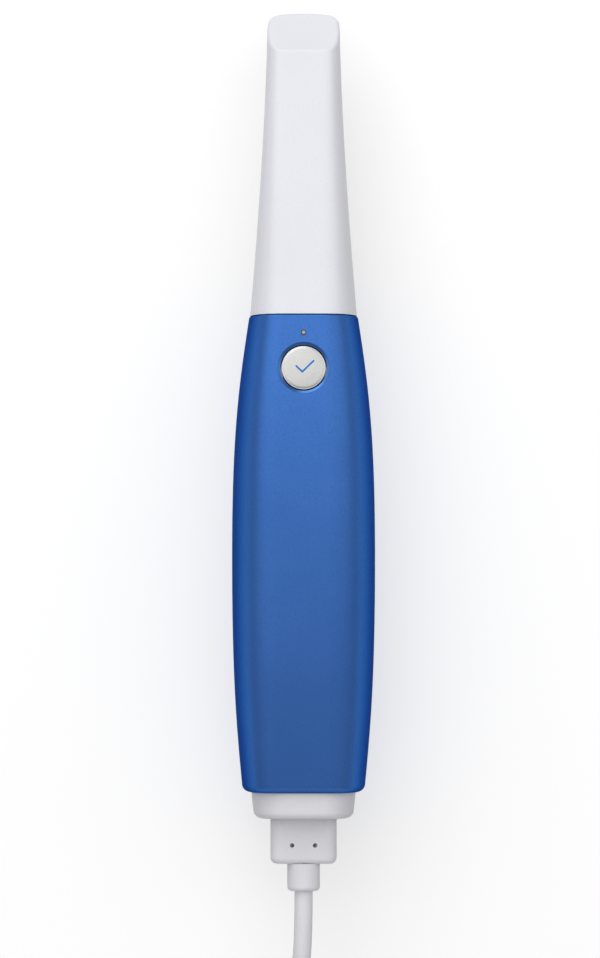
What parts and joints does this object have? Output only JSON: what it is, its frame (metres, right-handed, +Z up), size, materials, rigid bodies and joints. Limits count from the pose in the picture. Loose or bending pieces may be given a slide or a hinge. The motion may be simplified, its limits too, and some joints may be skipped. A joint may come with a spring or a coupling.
{
  "type": "intraoral scanner",
  "caption": "Handheld intraoral scanner: barrel-shaped blue handle, pull-off white scanning tip with slanted end, round scan button, pale end collar and detachable cable.",
  "frame": {"origin": "bottom centre of the scanner's own box, without its cable, lying on its back", "axes": "+Y along the scanner towards its tip, +Z up out of the button side, +X to the right"},
  "size_m": [0.0519, 0.4653, 0.0474],
  "materials": {
    "blue_casing": "matt bead-blasted blue anodised aluminium",
    "tip_white": "satin cool-white moulded plastic",
    "collar_grey": "satin pale grey moulded plastic",
    "cable_sheath": "smooth pale grey cable sheath",
    "tie_fabric": "dark woven hook-and-loop tie",
    "button_silver": "satin silver with a fine turned edge",
    "status_clear": "milky light pipe",
    "mirror_face": "front-silvered glass",
    "window_glass": "coated optical glass",
    "nose_black": "black anodised aluminium",
    "seal_rubber": "black silicone",
    "bench_metal": "milled aluminium",
    "camera_black": "black moulded plastic",
    "board_green": "solder-masked circuit board",
    "steel": "plain steel",
    "brass": "turned brass"
  },
  "bodies": {
    "handpiece": {"front_shell": "blue_casing", "back_shell": "blue_casing", "nose_barrel": "nose_black", "nose_window": "window_glass", "retaining_ring": "seal_rubber", "button_switch": "camera_black", "button_board": "board_green", "button_board_screws": "steel", "status_lens": "status_clear", "optical_bench": "bench_metal", "bench_screws": "steel", "projector_body": "bench_metal", "projector_lens": "nose_black", "camera_left": "camera_black", "camera_right": "camera_black", "camera_lens_left": "nose_black", "camera_lens_right": "nose_black", "heat_sink": "bench_metal", "main_board": "board_green", "board_standoffs": "brass", "board_chips": "camera_black", "fan_bulkhead": "camera_black", "fan_frame": "camera_black", "fan_screws": "steel", "end_collar": "collar_grey", "socket_shell": "steel", "socket_tongue": "camera_black", "socket_board": "board_green"},
    "tip": {"tip_shell": "tip_white", "tip_mirror": "mirror_face"},
    "scan_button": {"button_cap": "button_silver", "switch_plunger": "camera_black"},
    "fan": {"fan_rotor": "camera_black"},
    "cable_plug": {"plug_housing": "collar_grey", "plug_shell": "steel", "strain_relief": "collar_grey", "cable_run": "cable_sheath", "cable_coil": "cable_sheath", "coil_tie": "tie_fabric", "cable_tail": "cable_sheath", "far_grip": "collar_grey", "far_shell": "steel"}
  },
  "joints": [
    {"name": "tip_pull", "type": "slide", "parent": "handpiece", "child": "tip", "axis": [0, 1, 0], "range_m": [0, 0.07]},
    {"name": "button_press", "type": "slide", "parent": "handpiece", "child": "scan_button", "axis": [0, -0.1103, -0.9939], "range_m": [0, 0.0005], "stiffness_N_per_m": 1500},
    {"name": "fan_spin", "type": "hinge", "parent": "handpiece", "child": "fan", "pos_m": [0, -0.0805, 0.026], "axis": [0, 1, 0], "continuous": true},
    {"name": "plug_pull", "type": "slide", "parent": "handpiece", "child": "cable_plug", "axis": [0, -1, 0], "range_m": [0, 0.015]}
  ]
}
